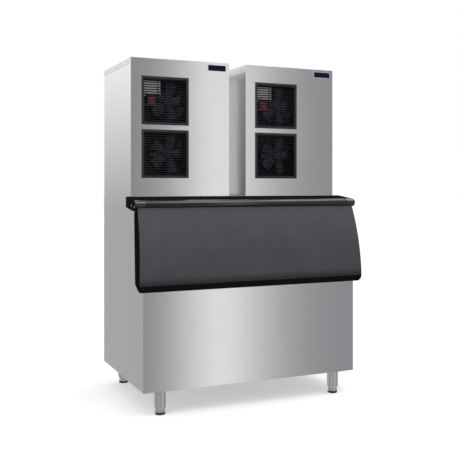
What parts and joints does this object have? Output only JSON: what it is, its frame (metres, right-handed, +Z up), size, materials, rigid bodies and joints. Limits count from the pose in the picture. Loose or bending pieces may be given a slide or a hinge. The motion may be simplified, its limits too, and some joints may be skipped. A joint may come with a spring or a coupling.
{
  "type": "crescent ice maker",
  "caption": "Tall commercial ice maker: twin steel ice-making heads on a wide insulated bin with a black flip-up door and levelling feet.",
  "frame": {"origin": "on the floor, under the middle of the whole machine's bounding box", "axes": "+Z up, +X to the right seen from the front, the front and its door towards -Y"},
  "size_m": [1.288, 0.862, 1.83],
  "materials": {
    "stainless_skin": "brushed stainless sheet",
    "liner_plastic": "pale moulded liner",
    "foam": "rigid foam, hidden",
    "deck_plastic": "insulated top",
    "hood_plastic": "smooth black plastic",
    "door_plastic": "pebbled black plastic",
    "seal_rubber": "soft seal",
    "pin_steel": "ground steel",
    "leg_steel": "satin steel leg",
    "zinc_steel": "zinc coated sheet",
    "grille_plastic": "black moulded grille",
    "motor_paint": "dark painted motor",
    "fin_aluminium": "dark finned core",
    "compressor_paint": "black compressor shell",
    "box_paint": "pale electrical box",
    "contactor_red": "red relay housing",
    "plate_steel": "plated freezing plate",
    "white_plastic": "white moulded plastic",
    "fan_blades": "grey fan blades"
  },
  "bodies": {
    "root": {"bin_side_left": "stainless_skin", "bin_side_right": "stainless_skin", "bin_front_panel": "stainless_skin", "bin_base_panel": "stainless_skin", "bin_back_panel": "stainless_skin", "bin_insulation": "foam", "bin_liner": "liner_plastic", "bin_deck": "deck_plastic", "drain_fitting": "white_plastic", "hood": "hood_plastic", "hinge_end_left": "hood_plastic", "hinge_end_right": "hood_plastic", "hinge_pins": "pin_steel", "leg_front_left": "leg_steel", "leg_front_right": "leg_steel", "leg_rear_left": "leg_steel", "leg_rear_right": "leg_steel", "base_pan_left": "zinc_steel", "cabinet_left": "stainless_skin", "front_panel_left": "stainless_skin", "top_panel_left": "stainless_skin", "upper_grille_left": "grille_plastic", "lower_grille_left": "grille_plastic", "fan_shroud_left": "zinc_steel", "fan_motors_left": "motor_paint", "condenser_left": "fin_aluminium", "compressor_left": "compressor_paint", "control_box_left": "box_paint", "contactor_left": "contactor_red", "partition_left": "zinc_steel", "evaporator_left": "plate_steel", "water_trough_left": "white_plastic", "ice_guide_left": "white_plastic", "base_pan_right": "zinc_steel", "cabinet_right": "stainless_skin", "front_panel_right": "stainless_skin", "top_panel_right": "stainless_skin", "upper_grille_right": "grille_plastic", "lower_grille_right": "grille_plastic", "fan_shroud_right": "zinc_steel", "fan_motors_right": "motor_paint", "condenser_right": "fin_aluminium", "compressor_right": "compressor_paint", "control_box_right": "box_paint", "contactor_right": "contactor_red", "partition_right": "zinc_steel", "evaporator_right": "plate_steel", "water_trough_right": "white_plastic", "ice_guide_right": "white_plastic"},
    "door": {"door_shell": "door_plastic", "door_inner_panel": "liner_plastic", "door_gasket": "seal_rubber"},
    "upper_fan_left": {"upper_fan_left": "fan_blades"},
    "lower_fan_left": {"lower_fan_left": "fan_blades"},
    "upper_fan_right": {"upper_fan_right": "fan_blades"},
    "lower_fan_right": {"lower_fan_right": "fan_blades"},
    "foot_front_left": {"foot_front_left": "leg_steel"},
    "foot_front_right": {"foot_front_right": "leg_steel"},
    "foot_rear_left": {"foot_rear_left": "leg_steel"},
    "foot_rear_right": {"foot_rear_right": "leg_steel"}
  },
  "joints": [
    {"name": "door_hinge", "type": "hinge", "parent": "root", "child": "door", "pos_m": [0, -0.339, 1.062], "axis": [-1, 0, 0], "range_deg": [0, 175]},
    {"name": "upper_fan_left_spin", "type": "hinge", "parent": "root", "child": "upper_fan_left", "pos_m": [-0.388, -0.109, 1.6075], "axis": [0, -1, 0], "continuous": true},
    {"name": "lower_fan_left_spin", "type": "hinge", "parent": "root", "child": "lower_fan_left", "pos_m": [-0.388, -0.109, 1.3255], "axis": [0, -1, 0], "continuous": true},
    {"name": "upper_fan_right_spin", "type": "hinge", "parent": "root", "child": "upper_fan_right", "pos_m": [0.272, -0.109, 1.6075], "axis": [0, -1, 0], "continuous": true},
    {"name": "lower_fan_right_spin", "type": "hinge", "parent": "root", "child": "lower_fan_right", "pos_m": [0.272, -0.109, 1.3255], "axis": [0, -1, 0], "continuous": true},
    {"name": "foot_front_left_level", "type": "slide", "parent": "root", "child": "foot_front_left", "axis": [0, 0, -1], "range_m": [-0.008, 0.022]},
    {"name": "foot_front_right_level", "type": "slide", "parent": "root", "child": "foot_front_right", "axis": [0, 0, -1], "range_m": [-0.008, 0.022]},
    {"name": "foot_rear_left_level", "type": "slide", "parent": "root", "child": "foot_rear_left", "axis": [0, 0, -1], "range_m": [-0.008, 0.022]},
    {"name": "foot_rear_right_level", "type": "slide", "parent": "root", "child": "foot_rear_right", "axis": [0, 0, -1], "range_m": [-0.008, 0.022]}
  ]
}
